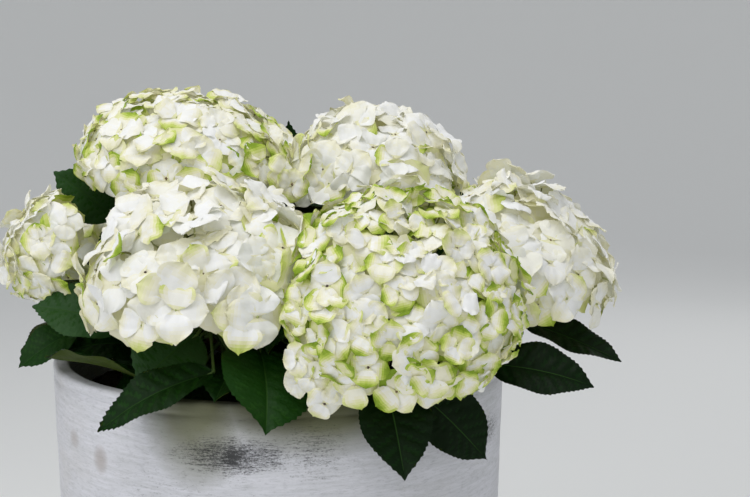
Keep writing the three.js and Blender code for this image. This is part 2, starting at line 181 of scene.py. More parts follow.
# Rows and columns of a sepal and of its mottling, in the outer and inner layer
SEPAL_FINE, SEPAL_COARSE = (11, 10), (6, 6)
MOTTLE_FINE, MOTTLE_COARSE = (9, 8), (5, 5)
# Layers of florets: share of the count, inset in reaches, how far down, grid
LAYERS = [(1, 0.36, HEAD_POLAR, SEPAL_FINE), (0.64, 0.8, HEAD_POLAR + 8, SEPAL_COARSE)]

# Stalks in a head: drop and length of its neck, and the stout rays that branch
NECK_DROP = 0.45
NECK_LENGTH = 24
HUB_DROP = 0.55
RAYS = 11
# Bud in the middle of a floret: rings from its top, shares of its colours
BUD_POLARS = [12, 50, 92, 140]
BUD_SHARES = [0.22, 0.38, 0.3, 0.1]
BUD_COLOURS = [(112, 88, 56), (168, 176, 110), (218, 214, 186), (74, 56, 52)]

# Sepals: share of florets with five, width of the claw, and pleats along the blade
FIVE_LOBES = 0.1
CLAW_WIDTH = 0.06
PLEAT_DEPTH, PLEAT_TURN = 0.026, 7.85

# Sepal colours from white through cream to green, and steps dealt out for each
SEPAL_RAMP = [
    (240, 240, 241), (238, 236, 226), (233, 229, 202), (224, 224, 173),
    (210, 216, 138), (190, 204, 100), (163, 185, 64), (132, 159, 40),
]
SHADES = 2
# Greening of a sepal, in steps of the ramp: at tip and edge for all green and at
# most, in the claw, cream all over, flush of a green head, mottling, inner layer's painted shade
TIP_GREEN, TIP_MOST, CLAW_GREEN = 9.5, 6.6, 8
CREAM, FLUSH, MOTTLING, INNER_SHADE = 1.4, 3.2, 0.18, 1.2
GREEN_MOST = 0.95
LATE_SEPALS, LATE_GREEN = 0.06, 0.45
# Painted glow for light soaking through thin sepals into shaded ones: tint and strength
GLOW_TINT = (0.98, 1.0, 0.88)
PAINTED_GLOW = 0.07

# Leaves with a place of their own: shoot, base, tip and width of the blade, way
# its upper face looks, height of its arch as a share of its length, tone; tone 4
# paints light and sky sheen on leaves that face up.
SET_LEAVES = [
    ("top_left", (-145, 12, 502), (-196, -2, 543), 46, (-0.3, -0.85, 0.45), 0.06, 4),
    ("side_left", (-128, -104, 424), (-203, -96, 442), 56, (-0.2, -0.58, 0.79), 0.06, 4),
    ("side_left", (-171, -62, 414), (-219, -79, 386), 37, (-0.45, -0.7, 0.5), 0.07, 2),
    ("front_left", (-108, -148, 392), (-193, -100, 399), 46, (-0.02, 0.36, 0.93), 0.05, 1),
    ("front_left", (-66, -138, 424), (-112, -164, 389), 70, (-0.3, -0.8, 0.5), 0.07, 4),
    ("front_left", (-52, -174, 401), (-142, -190, 361), 42, (-0.15, -0.55, 0.8), 0.08, 1),
    ("front_left", (-16, -152, 415), (-10, -226, 366), 80, (0.4, -0.8, 0.5), 0.07, 2),
    ("front_right", (80, -178, 402), (94, -224, 326), 58, (0.2, -0.88, 0.42), 0.04, 0),
    ("front_right", (107, -166, 383), (164, -172, 326), 56, (0.3, -0.82, 0.45), 0.05, 0),
    ("side_right", (172, -112, 391), (259, -128, 375), 47, (0.1, -0.75, 0.65), 0.07, 0),
    ("side_right", (210, -52, 416), (292, -82, 385), 36, (0.15, -0.6, 0.79), 0.03, 0),
    ("middle_back", (12, 104, 505), (10, 87, 581), 30, (0.1, -0.95, 0.2), 0.02, 1),
    ("side_left", (-102, -60, 398), (-184, -72, 400), 60, (-0.15, -0.45, 0.88), 0.07, 1),
    ("front_left", (-34, -136, 396), (-50, -205, 386), 46, (0.0, -0.3, 0.95), 0.08, 1),
    ("front_left", (-72, -92, 374), (-139, -106, 369), 62, (-0.1, -0.35, 0.93), 0.06, 1),
    ("front_left", (-44, -112, 376), (-84, -152, 368), 50, (-0.1, -0.35, 0.93), 0.06, 1),
    ("middle_front", (22, -124, 384), (34, -176, 372), 60, (0.05, -0.35, 0.93), 0.06, 1),
]
SET_FOLD = 0.16

# Leaf pairs along a shoot by the source's rule, and the ways a leaf gives way
NODES = [0.95, 0.82, 0.69, 0.57, 0.47]
TRIES = [
    (size, swing, drop)
    for size in (1, 0.84, 0.68)
    for swing in (0, 0.35, -0.35)
    for drop in (0.6, 0.4, 0.2, 0, -0.25)
]
SAME_CORNER = 0.25
GROWN_FOLD = 0.14
# Young leaves between the pairs, and the room they leave over soil, rim and wall
YOUNG_NODES = [0.88, 0.75, 0.62, 0.52]
YOUNG_DROPS = (0.55, 0.3, 0.05, -0.2)
OVER_SOIL, OVER_RIM, OFF_WALL = 6, 7, 4

# Blade: columns from midrib to edge, teeth and their depth, side veins and their
# slant, quilting between them, wavy edge and thickness, as shares of its length
LEAF_SHARES = [0, 0.018, 0.12, 0.26, 0.43, 0.62, 0.82, 1]
TOOTH_SPACING = 3.7
TEETH = (13, 27)
BITE, FINE_BITE, BITE_AHEAD = 0.0125, 0.008, 0.96
VEIN_SPACING, VEIN_SLANT, VEIN_WIDTH = 0.115, 0.72, 0.17
QUILT, WAVY = 0.036, 0.018
BLADE_THICK = (0.5, 0.019)
MIDRIB_SHARE = 0.93

# Leaf colours from dark to pale, of which grown leaves draw the first three. The
# slots of the midrib and the underside follow them. The palest, greyish green is
# painted light and sky sheen on set leaves that face up.
LEAF_GREENS = [(8, 31, 4), (12, 42, 6), (20, 57, 9), (28, 66, 14), (40, 72, 34)]
TONE_SHARES = [0.3, 0.45, 0.25]
PALEST = len(LEAF_GREENS) - 1
MIDRIB, UNDERSIDE = PALEST + 1, PALEST + 2
# Slots and colours of the stalks
PALE_STALK, GREEN_STALK = 0, 2
STALK_COLOURS = [
    ("pedicel_pale", (186, 192, 138), 0.6),
    ("pedicel_olive", (146, 146, 92), 0.6),
    ("stalk_green", (84, 112, 52), 0.55),
]


def linear(colour):
    """Linear RGBA from 8-bit values."""
    share = [c / 255 for c in colour]
    return [c / 12.92 if c <= 0.04045 else ((c + 0.055) / 1.055) ** 2.4 for c in share] + [1.0]


def unit(v):
    v = np.asarray(v, float)
    return v / np.linalg.norm(v)


def axes_along(w):
    """Right-handed axes with the third along w."""
    side = np.cross((0.0, 0.0, 1.0), w)
    side = unit(side) if side @ side > 1e-8 else np.array([1.0, 0.0, 0.0])
    return side, np.cross(w, side), np.asarray(w, float)


def heading(u, v, angle):
    """Direction at an angle from u toward v."""
    return u * cos(angle) + v * sin(angle)


def turns(count):
    """Angles spread evenly round a circle."""
    return 2 * pi * np.arange(count) / count


def revolved(radius, height, turn):
    """Points round the upright axis."""
    return np.stack(np.broadcast_arrays(radius * np.cos(turn), radius * np.sin(turn), height), -1)


def random_from(seed):
    """The source's seeded draws between 0 and 1."""
    mask = 0xFFFFFFFF
    state = seed & mask

    def draw():
        nonlocal state
        state = (state + 0x6D2B79F5) & mask
        t = state
        t = ((t ^ (t >> 15)) * (t | 1)) & mask
        t ^= (t + ((t ^ (t >> 7)) * (t | 61))) & mask
        return ((t ^ (t >> 14)) & mask) / 4294967296

    return draw


def smooth_step(low, high, x):
    s = np.clip((x - low) / (high - low), 0, 1)
    return s * s * (3 - 2 * s)


def ripples(x, y, seed, count=7, low=1.0, high=6.0):
    """Smooth uneven value of about -1 to 1 over a plane."""
    rng = np.random.RandomState(seed)
    total = 0
    for _ in range(count):
        a, f = rng.uniform(0, pi), rng.uniform(low, high)
        total = total + np.sin(f * (x * cos(a) + y * sin(a)) + rng.uniform(0, ANY_TURN))
    return total / sqrt(count * 2)


class Curve:
    """Cubic Bezier curve through space."""

    def __init__(self, *ends):
        self.ends = [np.asarray(p, float) for p in ends]

    def point(self, t):
        a, b, c, d = self.ends
        s = 1 - t
        return a * s**3 + b * (3 * s * s * t) + c * (3 * s * t * t) + d * t**3

    def tangent(self, t):
        a, b, c, d = self.ends
        s = 1 - t
        return unit((b - a) * (s * s) + (c - b) * (2 * s * t) + (d - c) * (t * t))


class Shoot:
    """What follows from the tables for one shoot."""

    def __init__(self, name, index, centre, lean, az):
        self.name, self.index = name, index
        self.flowers = name in SHOOTS
        self.centre = np.array(centre, float)
        lean, az = radians(lean), radians(az)
        level = sin(lean)
        self.w = np.array([level * cos(az), level * sin(az), cos(lean)])
        drop = 0
        if self.flowers:
            _, self.a, self.h, _, _, self.reach, self.green, self.slot = SHOOTS[name]
            self.hub = self.centre - self.w * (NECK_DROP * self.h * HUB_DROP)
            drop = NECK_DROP * self.h + NECK_LENGTH
        self.neck = self.centre - self.w * drop
        away = atan2(centre[1], centre[0])
        self.out = np.array([cos(away), sin(away), 0.0])
        steep = not self.flowers or centre[2] > HIGH_HEAD
        rise, root_out, root_up = STEEP_START if steep else LOW_START
        rise = radians(rise)
        first = self.out * cos(rise) + UP * sin(rise)
        self.root = self.out * root_out
        self.root[2] = SOIL_TOP + GAP + root_up
        self.start = self.root + first * FOOT_STUB
        bow = np.linalg.norm(self.start - self.neck) * SHOOT_BOW
        self.curve = Curve(
            self.start + first * GAP,
            self.start + first * bow,
            self.neck - self.w * bow,
            self.neck - self.w * GAP,
        )

    def reach_in(self, point):
        """How far out of the head's dome a point lies: 1 on its surface."""
        d = point - self.centre
        axial = d @ self.w
        radial = sqrt(max(0.0, d @ d - axial * axial))
        return hypot(axial / self.h, radial / self.a)

    def outward(self, u, v):
        """Angle from u toward v at which the shoot looks away from the pot's middle."""
        return atan2(self.out @ v, self.out @ u)


class Batch:
    """Grids of points gathered into one joined mesh."""

    def __init__(self):
        self.points, self.faces, self.slots = [], [], []
        self.count = 0

    def sheet(self, grid, slots=0, around=False):
        """Adds a grid of points as quads; slots is one number or one for each quad."""
        rows, columns = grid.shape[:2]
        index = np.arange(rows * columns).reshape(rows, columns) + self.count
        if around:
            index = np.concatenate([index, index[:, :1]], 1)
        quads = np.stack([index[:-1, :-1], index[:-1, 1:], index[1:, 1:], index[1:, :-1]], -1)
        quads = quads.reshape(-1, 4)
        self.points.append(grid.reshape(-1, 3))
        self.faces.append(quads)
        self.slots.append(np.broadcast_to(np.asarray(slots, np.int32).ravel(), len(quads)))
        self.count += rows * columns

    def tube(self, places, radii, sides, slot=0, relief=None):
        """Adds a limb through places; relief(i, a) scales its radius at ring i and angle a."""
        places = np.asarray(places, float)
        along = np.gradient(places, axis=0)
        turn = turns(sides)
        grid = np.empty((len(places), sides, 3))
        for i, (p, d) in enumerate(zip(places, along)):
            side = unit(np.cross((0.31, 0.17, 0.93), unit(d)))
            lift = np.cross(unit(d), side)
            r = radii[i] * (relief(i, turn) if relief else np.ones(sides))
            grid[i] = p + np.outer(r * np.cos(turn), side) + np.outer(r * np.sin(turn), lift)
        cap = np.stack([grid[-1], np.broadcast_to(places[-1], grid[-1].shape)])
        self.sheet(grid, slot, around=True)
        self.sheet(cap, slot, around=True)

    def mesh(self, name, materials):
        """All grids as one smooth mesh in metres."""
        points = np.concatenate(self.points) * MM
        faces = np.concatenate(self.faces)
        mesh = bpy.data.meshes.new(name)
        mesh.vertices.add(len(points))
        mesh.vertices.foreach_set("co", points.ravel())
        mesh.loops.add(faces.size)
        mesh.loops.foreach_set("vertex_index", faces.ravel().astype(np.int32))
        mesh.polygons.add(len(faces))
        mesh.polygons.foreach_set("loop_start", np.arange(0, faces.size, 4, dtype=np.int32))
        mesh.polygons.foreach_set("material_index", np.concatenate(self.slots).astype(np.int32))
        mesh.polygons.foreach_set("use_smooth", np.full(len(faces), True))
        mesh.update(calc_edges=True)
        mesh.validate()
        for material in materials:
            mesh.materials.append(material)
        return mesh

    def build(self, name, materials):
        piece = bpy.data.objects.new(name, self.mesh(name, materials))
        bpy.context.scene.collection.objects.link(piece)
        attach(piece, "root")
        return piece


class Nodes:
    """Shorthand for building a material's node tree."""

    def __init__(self, name, colour, roughness, specular=None):
        self.material = bpy.data.materials.new(name)
        self.material.use_nodes = True
        self.tree = self.material.node_tree
        self.shader = self.tree.nodes["Principled BSDF"]
        self.shader.inputs["Base Color"].default_value = linear(colour)
        self.shader.inputs["Roughness"].default_value = roughness
        if specular is not None:
            self.shader.inputs["Specular IOR Level"].default_value = specular
        self.place = self.add("TexCoord").outputs["Object"]

    def add(self, kind, **values):
        node = self.tree.nodes.new("ShaderNode" + kind)
        for key, value in values.items():
            setattr(node, key, value)
        return node

    def feed(self, value, socket):
        """Links an output to a socket, or sets a number or colour on it."""
        if isinstance(value, (int, float)):
            socket.default_value = value
        elif isinstance(value, tuple):
            socket.default_value = linear(value)
        else:
            self.tree.links.new(value, socket)

    def stretched(self, *scale):
        node = self.add("Mapping")
        node.inputs["Scale"].default_value = scale
        self.feed(self.place, node.inputs["Vector"])
        return node.outputs["Vector"]

    def noise(self, scale, detail=3.0, rough=0.55, vector=None):
        node = self.add("TexNoise")
        for key, value in (("Scale", scale), ("Detail", detail), ("Roughness", rough)):
            node.inputs[key].default_value = value
        self.feed(vector or self.place, node.inputs["Vector"])
        return node.outputs["Fac"]

    def spread(self, value, low, high, to_low, to_high):
        """Maps low..high of a value to to_low..to_high, clamped."""
        node = self.add("MapRange")
        ends = {"From Min": low, "From Max": high, "To Min": to_low, "To Max": to_high}
        for key, number in ends.items():
            node.inputs[key].default_value = number
        self.feed(value, node.inputs["Value"])
        return node.outputs["Result"]

    def join(self, operation, a, b):
        node = self.add("Math", operation=operation)
        self.feed(a, node.inputs[0])
        self.feed(b, node.inputs[1])
        return node.outputs[0]

    def blend(self, factor, under, over):
        """Colour under with colour over laid on it by factor."""
        node = self.add("Mix", data_type="RGBA")
        self.feed(factor, node.inputs["Factor"])
        self.feed(under, node.inputs[6])
        self.feed(over, node.inputs[7])
        return node.outputs[2]

    def colour(self, value):
        self.feed(value, self.shader.inputs["Base Color"])

    def bump(self, height, depth, strength):
        node = self.add("Bump")
        node.inputs["Strength"].default_value = strength
        node.inputs["Distance"].default_value = depth * MM
        self.feed(height, node.inputs["Height"])
        self.feed(node.outputs["Normal"], self.shader.inputs["Normal"])

    def vary_roughness(self, value, low, high):
        self.feed(self.spread(value, 0.3, 0.7, low, high), self.shader.inputs["Roughness"])


def sepal_material(k, colour):
    made = Nodes(f"sepal_{k}", colour, 0.6, specular=0.28)
    fine = made.noise(620, 2)
    made.vary_roughness(fine, 0.5, 0.68)
    made.bump(fine, 0.25, 0.5)
    # Painted glow: the sepal gives off faint light of its own tint, for light soaked through it
    glow_colour = [c * s for c, s in zip(colour, GLOW_TINT)]
    made.shader.inputs["Emission Color"].default_value = linear(glow_colour)
    made.shader.inputs["Emission Strength"].default_value = PAINTED_GLOW
    return made.material


def leaf_material(name, colour, roughness, specular=0.13):
    made = Nodes(name, colour, roughness, specular)
    cells = made.add("TexVoronoi")
    cells.inputs["Scale"].default_value = 330
    made.feed(made.place, cells.inputs["Vector"])
    made.vary_roughness(made.noise(90, 3), roughness - 0.08, roughness + 0.1)
    made.bump(cells.outputs["Distance"], 0.5, 0.45)
    return made.material


def stalk_material(name, colour, roughness):
    made = Nodes(name, colour, roughness)
    grain = made.noise(60, 5, 0.7, made.stretched(1, 1, 0.2))
    made.vary_roughness(grain, roughness - 0.1, roughness + 0.1)
    made.bump(grain, 0.4, 0.7)
    return made.material


def bark_material():
    made = Nodes("bark_brown", (104, 84, 60), 0.9)
    grain = made.noise(110, 7, 0.75, made.stretched(1, 1, 0.22))
    patches = made.noise(26, 3)
    colour = made.blend(made.spread(grain, 0.35, 0.65, 0, 1), (74, 56, 40), (142, 121, 92))
    made.colour(made.blend(made.spread(patches, 0.55, 0.75, 0, 0.5), colour, (120, 122, 92)))
    made.vary_roughness(grain, 0.8, 0.98)
    made.bump(grain, 1.2, 0.9)
    return made.material


def soil_material():
    made = Nodes("soil_dark", (46, 34, 24), 0.95)
    crumbs = made.noise(150, 8, 0.8)
    made.colour(made.blend(made.spread(crumbs, 0.4, 0.62, 0, 1), (24, 17, 12), (70, 52, 37)))
    made.vary_roughness(crumbs, 0.85, 1.0)
    made.bump(crumbs, 2.0, 0.9)
    return made.material


def pot_material():
    """Chalky whitewash brushed on level, smudged, with painted shade under the leaves, and rubbed
    through.
    """
    made = Nodes("whitewash", (220, 220, 227), 0.82, specular=0.25)
    parts = made.add("SeparateXYZ")
    made.feed(made.place, parts.inputs[0])
    x, y, z = parts.outputs
    front = made.spread(y, -0.02, -0.05, 0, 1)

    def ovals(marks):
        """Rises to a mark's peak in the middle of its oval, on the pot's front."""
        highest = 0.0
        for *mark, peak in marks:
            across, up, half_width, half_height = (size * MM for size in mark)
            side = made.join("DIVIDE", made.join("SUBTRACT", x, across), half_width)
            rise = made.join("DIVIDE", made.join("SUBTRACT", z, up), half_height)
            side, rise = made.join("MULTIPLY", side, side), made.join("MULTIPLY", rise, rise)
            near = made.spread(made.join("ADD", side, rise), 1, 0, 0, peak)
            highest = made.join("MAXIMUM", made.join("MULTIPLY", near, front), highest)
        return highest

    brushed = made.noise(90, 5, 0.65, made.stretched(0.3, 0.3, 3.4))
    weave = made.noise(340, 4, 0.75, made.stretched(0.4, 0.4, 1.5))
    cloudy = made.noise(8.5, 4, 0.6)
    colour = made.blend(made.spread(brushed, 0.34, 0.66, 0, 1), (214, 215, 220), (232, 232, 239))
    colour = made.blend(made.spread(cloudy, 0.5, 0.72, 0, 0.4), colour, (210, 207, 203))
    colour = made.blend(made.spread(weave, 0.5, 0.72, 0, 0.5), colour, (176, 177, 181))

    # Brown smudges, and painted shade under the leaves, olive and darkest along the lip
    scattered = made.spread(made.noise(19, 3), 0.68, 0.78, 0, 0.35)
    smudged = made.join("MAXIMUM", ovals(SMUDGES), scattered)
    colour = made.blend(smudged, colour, (163, 150, 141))
    # Painted shade: an olive, patchy darkening where the leaves shade the wall
    patchy = made.spread(made.noise(14, 3), 0.3, 0.6, 0.75, 1.0)
    painted_shade = made.join("MULTIPLY", ovals(PAINTED_LEAF_SHADE), patchy)
    colour = made.blend(made.spread(painted_shade, 0, 1, 0, 0.96), colour, (116, 118, 91))
    # Painted shade along the lip, under the overhanging leaves
    colour = made.blend(ovals(PAINTED_LIP_SHADE), colour, (72, 74, 44))

    # Rubbed through in short dashes, close together where the rubbing was hard
    broad = made.spread(made.noise(6, 3, 0.6), 0.55, 0.8, 0, 0.12)
    rubbed = made.join("MAXIMUM", ovals(RUBBED), broad)
    dashes = made.noise(330, 7, 0.85, made.stretched(0.3, 0.3, 2.2))
    dashes = made.join("MULTIPLY", dashes, 0.62)
    grains = made.noise(650, 3, 0.8, made.stretched(0.8, 0.8, 1.3))
    grains = made.join("MULTIPLY", grains, 0.38)
    through = made.join("ADD", made.join("ADD", dashes, grains), rubbed)
    bare = made.spread(through, 0.6, 0.74, 0, 0.92)
    made.colour(made.blend(bare, colour, (46, 47, 48)))

    made.vary_roughness(brushed, 0.7, 0.92)
    brushed, weave = made.join("MULTIPLY", brushed, 0.6), made.join("MULTIPLY", weave, 0.7)
    relief = made.join("ADD", brushed, weave)
    made.bump(made.join("SUBTRACT", relief, made.join("MULTIPLY", bare, 0.5)), 0.7, 0.6)
    return made.material


def walls_of(shoot):
    """Planes between neighbouring heads; a head keeps to its own side of each."""
    walls = []
    for other in flowering:
        line = other.centre - shoot.centre
        span = np.linalg.norm(line)
        if other is shoot or span > shoot.a + other.a + WALL_RANGE:
            continue
        low, high = 0.0, 1.0
        for _ in range(40):
            mid = (low + high) / 2
            point = shoot.centre + line * mid
            if shoot.reach_in(point) < other.reach_in(point):
                low = mid
            else:
                high = mid
        normal = line / span
        walls.append((normal, normal @ shoot.centre + low * span - GAP / 2))
    return walls


def keep_inside(points, walls):
    """Presses points back from the planes between heads, without folding them."""
    for normal, offset in walls:
        over = points @ normal - (offset + WALL_REACH - SOFT_WALL)
        pressed = SOFT_WALL * (1 - np.exp(-np.maximum(over, 0) / SOFT_WALL))
        points = points - np.multiply.outer(np.maximum(over, 0) - pressed, normal)
    return points


def along_sepal(rows):
    """Rows of a sepal from claw to tip, closer together at the tip."""
    return 1 - (1 - np.linspace(0, 1, rows)) ** 1.45


def sepal_grid(length, width, size, rng):
    """Broad sepal from its narrow claw to a blunt point: x out, y across, z up."""
    u = along_sepal(size[0])[:, None]
    v = np.linspace(-1, 1, size[1])[None, :]
    widest, fullness = rng.uniform(0.5, 0.62), rng.uniform(0.5, 0.64)
    peak = log(0.5) / log(widest)
    half = np.sin(pi * np.clip(u, 0.004, 0.996) ** peak) ** fullness
    half = width * np.maximum(half, CLAW_WIDTH)
    point = rng.uniform(0, 0.05)
    pointed = point * np.maximum(0, u - 0.8) / 0.2 * (1 - np.abs(v)) ** 2
    x = length * (u + pointed - 0.05 * u * v * v)
    y = half * v
    rise, curl = rng.uniform(0, 0.42), rng.uniform(0.1, 0.55)
    cross = rng.uniform(-0.24, 0.3)
    wave, beat, shift = rng.uniform(0.02, 0.085), rng.uniform(1.2, 2.6), rng.uniform(0, ANY_TURN)
    z = length * (rise * u - curl * u**2.6 + cross * (y / width) ** 2 * u)
    z = z + length * wave * np.sin(2 * pi * beat * u + shift + 1.4 * v) * np.abs(v) ** 1.5
    z = z + length * PLEAT_DEPTH * np.cos(v * PLEAT_TURN) * np.minimum(1, 2.5 * u)
    lean = rng.uniform(-0.12, 0.12)
    return np.stack(np.broadcast_arrays(x, y + lean * x * u, z), -1)


def sepal_levels(green, size, rng):
    """Colour of every quad: pale middle, greener tip and edge, creamier and darker in the inner
    layer as painted shade.
    """
    u = along_sepal(size[0])
    u = ((u[1:] + u[:-1]) / 2)[:, None]
    v = np.linspace(-1, 1, size[1])
    v = ((v[1:] + v[:-1]) / 2)[None, :]
    side = rng.uniform(-0.35, 0.35)
    start, full = rng.uniform(0.12, 0.55), rng.uniform(0.86, 1.05)
    tip = smooth_step(start, full, u - 0.14 * np.abs(v - side))
    edge = smooth_step(0.5, 1.0, np.abs(v - side * 0.4)) * 0.65 * smooth_step(0.15, 0.6, u)
    claw = smooth_step(0.2, 0.0, u) * 0.3
    level = min(TIP_GREEN * green, TIP_MOST) * np.maximum(tip, edge) + CLAW_GREEN * claw
    level = level + rng.uniform(0, CREAM) + green * rng.uniform(0, FLUSH) ** 2 / FLUSH
    inner = size == SEPAL_COARSE
    mottle = rng.uniform(-MOTTLING, MOTTLING, MOTTLE_COARSE if inner else MOTTLE_FINE)
    rows, columns = (
        np.linspace(0, n - 0.01, m).astype(int) for n, m in zip(mottle.shape, level.shape)
    )
    # Painted shade: the inner layer is drawn creamier and darker, for the recesses between outer
    # florets
    level = level + mottle[rows][:, columns] + (INNER_SHADE if inner else 0)
    return (np.clip(level, 0, len(SEPAL_RAMP) - 0.01) * SHADES).astype(np.int32)


def dome_area(shoot, polar):
    theta = np.linspace(0, radians(polar), 60)
    ring = shoot.a * np.sin(theta)
    run = np.hypot(np.gradient(ring), np.gradient(shoot.h * np.cos(theta)))
    return float(np.sum(2 * pi * ring * run))


def floret_seats(shoot, count, inset, polar, rng):
    """Seats and outward directions spread evenly over the dome, inset from it."""
    radius, height = shoot.a - inset, shoot.h - inset
    u, v, w = axes_along(shoot.w)
    cap = 1 - cos(radians(polar))
    for k in range(count):
        angle = acos(1 - cap * (k + 0.4) / count) + rng.uniform(-0.08, 0.08)
        around = k * GOLDEN_ANGLE + rng.uniform(-0.14, 0.14)
        across = heading(u, v, around)
        sine, cosine = sin(angle), cos(angle)
        lump = sin(3 * around + shoot.index) * sine + sin(5 * angle + 2 * around)
        size = 1 + LUMP * lump
        seat = shoot.centre + across * (size * radius * sine) + w * (size * height * cosine)
        normal = unit(across * (sine / radius) + w * (cosine / height))
        seat = seat + normal * (shoot.reach * rng.uniform(-0.22, 0.16)) + SHIFT.get(shoot.name, 0)
        tilt = HEAD_TILT.get(shoot.name, FLORET_TILT) * (1 + 0.6 * max(0, normal[2]) ** 2)
        yield seat, unit(normal + rng.uniform(-tilt, tilt, 3)), sine


def add_floret(shoot, seat, normal, reach, green, walls, size, batches, rng):
    """Four, sometimes five sepals round a bud, on a stalk of its own."""
    petals, buds, stalks = batches
    u, v, w = axes_along(normal)
    lobes = 5 if rng.random_sample() < FIVE_LOBES else 4
    spin = rng.uniform(0, pi)
    open_wide = rng.uniform(-0.05, 0.16)
    for lobe in range(lobes):
        a = spin + 2 * pi * lobe / lobes + rng.uniform(-0.12, 0.12)
        length = reach * rng.uniform(0.88, 1.1)
        grid = sepal_grid(length, length * rng.uniform(0.52, 0.66), size, rng)
        out = heading(u, v, a)
        across = np.cross(w, out)
        grid[..., 2] += grid[..., 0] * open_wide + (0.9 if lobe % 2 else -0.3)
        world = seat + grid[..., :1] * out + grid[..., 1:2] * across + grid[..., 2:] * w
        share = green * rng.uniform(0.1, 1.7)
        share = share + (LATE_GREEN if rng.random_sample() < LATE_SEPALS else 0)
        levels = sepal_levels(min(share, GREEN_MOST), size, rng)
        petals.sheet(keep_inside(world, walls), levels)
    bud = rng.uniform(0.8, 1.4)
    add_bud(buds, keep_inside(seat + w * (bud * 0.7), walls), bud, w, rng.choice(4, p=BUD_SHARES))
    inner = shoot.hub + (seat - shoot.hub) * rng.uniform(0.35, 0.5)
    bend = (seat + inner) / 2 + shoot.w * rng.uniform(2, 6)
    stalks.tube([inner, bend, seat - w], [1, 0.85, 0.8], 4, rng.randint(2))


def add_bud(batch, centre, radius, w, slot):
    u, v, w = axes_along(w)
    turn = turns(5)
    ring = np.outer(np.cos(turn), u) + np.outer(np.sin(turn), v)
    rings = [
        centre + radius * (sin(polar) * ring + cos(polar) * w)
        for polar in np.radians(BUD_POLARS)
    ]
    batch.sheet(np.array(rings), slot, around=True)


def add_rays(shoot, stalks):
    """Neck of a head and the stout stalks that branch from it."""
    foot = shoot.hub
    places = [shoot.neck, (shoot.neck + foot) / 2, foot, foot + shoot.w * 10]
    stalks.tube(places, [3.4, 3.8, 4.6, 3.5], 8, PALE_STALK)
    u, v, w = axes_along(shoot.w)
    for k in range(RAYS):
        out = heading(u, v, k * GOLDEN_ANGLE)
        reach = 0.30 + 0.2 * (k % 3) / 2
        tip = shoot.centre + out * (shoot.a * reach) + w * (shoot.h * (0.3 - 0.25 * (k % 2)))
        stalks.tube([foot, (foot + tip) / 2 + w * 4, tip], [2.2, 1.7, 1.3], 5, k % 2)


def make_head(shoot, sepals, buds, stalks):
    """All florets of a head, on the rule of the source carried finer."""
    rng = np.random.RandomState(SEED + 101 * shoot.index + OWN_DRAW.get(shoot.name, 0))
    walls = walls_of(shoot)
    petals = Batch()
    batches = petals, buds, stalks
    count = int(DENSITY * dome_area(shoot, HEAD_POLAR) / shoot.reach**2)
    limits = [(normal, offset + OVER_WALL * shoot.reach) for normal, offset in walls]
    limits += BARE.get(shoot.name, [])
    for share, depth, polar, size in LAYERS:
        inset = depth * shoot.reach + EXTRA_INSET.get(shoot.name, 0)
        for seat, way, rim in floret_seats(shoot, int(share * count), inset, polar, rng):
            if any(seat @ normal > offset for normal, offset in limits):
                continue
            green = shoot.green * (GREEN_MIDDLE + GREEN_RIM * rim**3)
            # Greener toward one side; low on front_right this also paints shade
            if shoot.name in GREEN_AND_SHADE_SIDE:
                side, start, full, more = GREEN_AND_SHADE_SIDE[shoot.name]
                green *= 1 + more * smooth_step(start, full, (seat - shoot.centre) @ side)
            reach = shoot.reach * rng.uniform(0.88, 1.12)
            add_floret(shoot, seat, way, reach, green, walls, size, batches, rng)
    for name, seat, way, reach, green in STRAY_FLORETS:
        if name == shoot.name:
            seat = np.array(seat, float)
            add_floret(shoot, seat, unit(way), reach, green, [], SEPAL_FINE, batches, rng)
    piece = petals.build(f"petals_{shoot.name}", sepals)
    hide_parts(f"bloom_{shoot.name}")
    add_rays(shoot, stalks)


def leaf_outline(t):
    """Half width of a blade as a share of its widest, from base to tip."""
    rise = np.sin(pi * np.clip(t, 0.0015, 0.9985) ** 0.8926)
    return rise ** (0.62 + 0.26 * smooth_step(0.4, 0.8, t) + 0.3 * smooth_step(0.8, 1.0, t))


